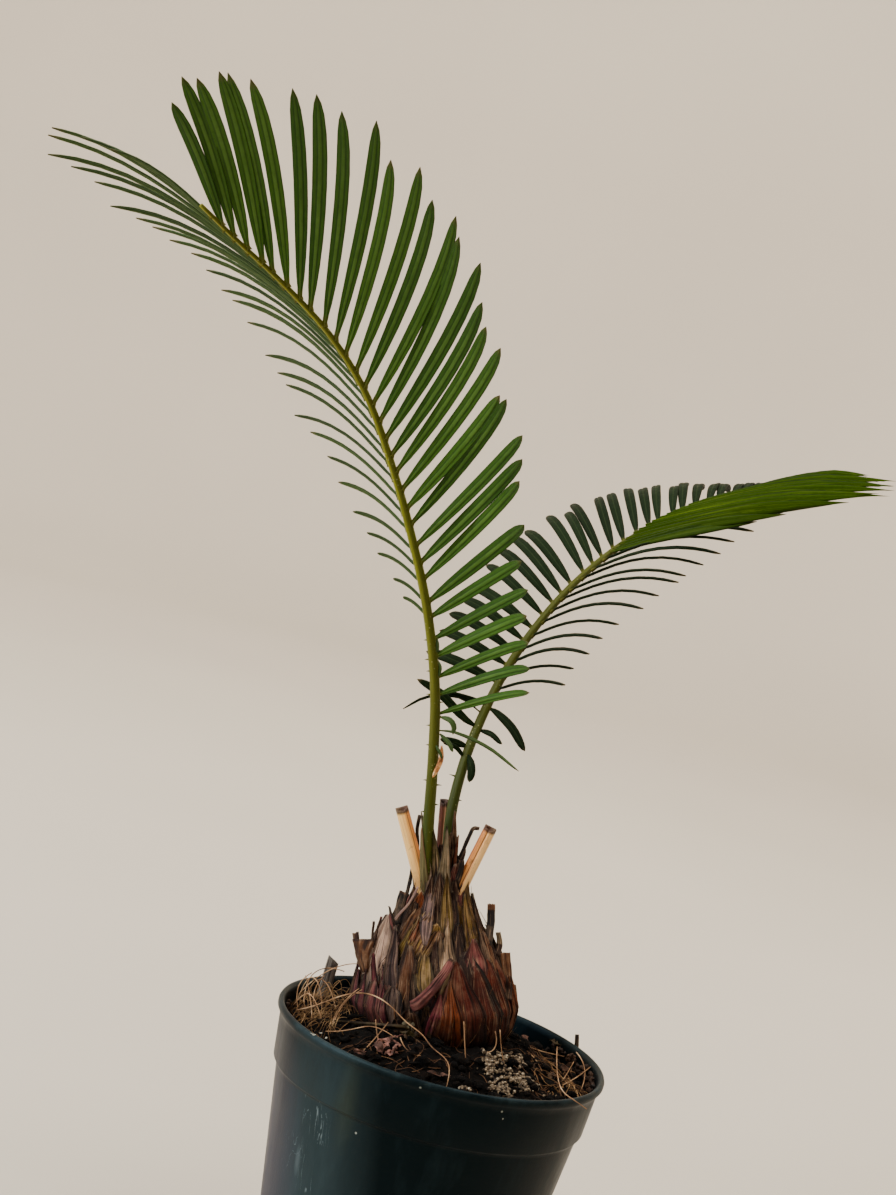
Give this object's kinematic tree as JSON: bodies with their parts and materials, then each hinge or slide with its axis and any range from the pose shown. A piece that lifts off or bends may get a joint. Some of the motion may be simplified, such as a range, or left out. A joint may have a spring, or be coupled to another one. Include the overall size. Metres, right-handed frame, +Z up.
{
  "type": "potted sago palm",
  "caption": "Young sago palm with two arching feather leaves on a scaly bulb-like trunk, planted in a dark round plastic nursery pot.",
  "frame": {"origin": "centre of the pot's flat base, where it stands", "axes": "+Z up the pot's axis; the plant leans towards -X, the tall leaf arches to -X and the low leaf to +X and +Y; the viewer stands at -Y"},
  "size_m": [0.36, 0.2852, 0.4383],
  "materials": {
    "pot_plastic": "satin moulded plastic, dark slate green, scuffed",
    "potting_soil": "loose dark potting mix with fibres",
    "trunk_core": "dull fibrous bark",
    "dry_scale": "dry papery brown, striated",
    "old_stalk": "straw coloured dried stalk",
    "leaf_tall": "waxy green",
    "leaf_low": "waxy dark green",
    "perlite": "chalky off-white grains",
    "root_fibre": "dry pale fibre",
    "dry_stick": "weathered grey stalk"
  },
  "bodies": {
    "root": {"cut_stalk_back": "old_stalk", "cut_stalk_left": "old_stalk", "cut_stalk_right": "old_stalk", "dry_stick": "dry_stick", "low_leaf": "leaf_low", "perlite_crumb": "perlite", "perlite_large": "perlite", "perlite_small": "perlite", "pot": "pot_plastic", "root_front": "root_fibre", "root_right": "root_fibre", "scale_1_1": "dry_scale", "scale_1_2": "dry_scale", "scale_1_3": "dry_scale", "scale_1_4": "dry_scale", "scale_1_5": "dry_scale", "scale_1_6": "dry_scale", "scale_1_7": "dry_scale", "scale_1_8": "dry_scale", "scale_2_1": "dry_scale", "scale_2_2": "dry_scale", "scale_2_3": "dry_scale", "scale_2_4": "dry_scale", "scale_2_5": "dry_scale", "scale_2_6": "dry_scale", "scale_2_7": "dry_scale", "scale_3_1": "dry_scale", "scale_3_2": "dry_scale", "scale_3_3": "dry_scale", "scale_3_4": "dry_scale", "scale_3_5": "dry_scale", "scale_3_6": "dry_scale", "scale_4_1": "dry_scale", "scale_4_2": "dry_scale", "scale_4_3": "dry_scale", "scale_4_4": "dry_scale", "scale_4_5": "dry_scale", "scale_4_6": "dry_scale", "scale_5_1": "dry_scale", "scale_5_2": "dry_scale", "scale_5_3": "dry_scale", "scale_5_4": "dry_scale", "scale_5_5": "dry_scale", "scale_6_1": "dry_scale", "scale_6_2": "dry_scale", "soil": "potting_soil", "tall_leaf": "leaf_tall", "trunk": "trunk_core"}
  },
  "joints": []
}
